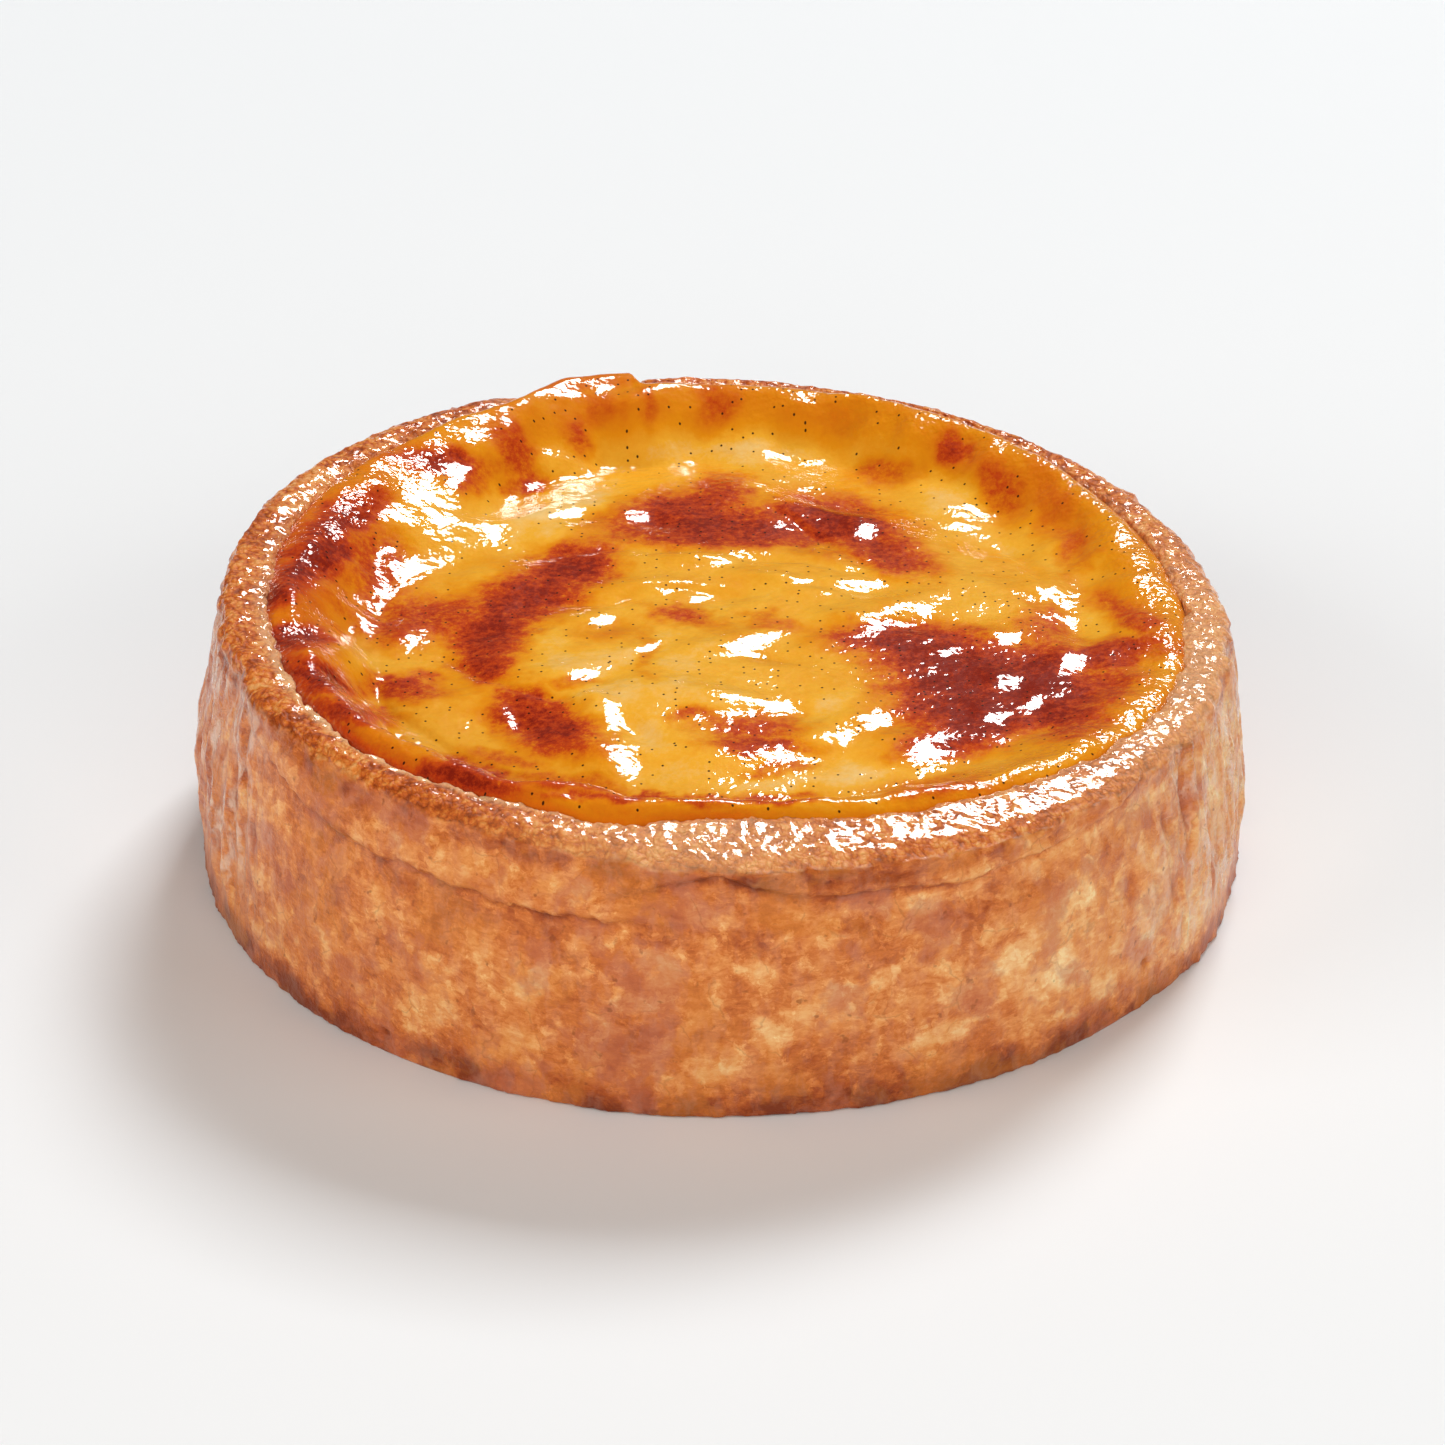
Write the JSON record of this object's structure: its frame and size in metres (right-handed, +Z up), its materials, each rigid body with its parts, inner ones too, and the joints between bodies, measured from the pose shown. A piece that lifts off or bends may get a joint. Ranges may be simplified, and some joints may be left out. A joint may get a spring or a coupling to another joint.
{
  "type": "vanilla flan",
  "caption": "Round vanilla flan: a browned pastry cup filled to the brim with baked vanilla custard, its glossy skin swollen round the edge and caramelised in dark patches",
  "frame": {"origin": "middle of the flat underside that the flan stands on", "axes": "+Z up, -Y towards the front of the picture's view, +X to the right; the rim is a little higher at -X than at +X"},
  "size_m": [0.1238, 0.1237, 0.0349],
  "materials": {
    "crust": "satin",
    "custard": "gloss"
  },
  "bodies": {
    "root": {"pastry_crust": "crust", "custard_filling": "custard"}
  },
  "joints": []
}
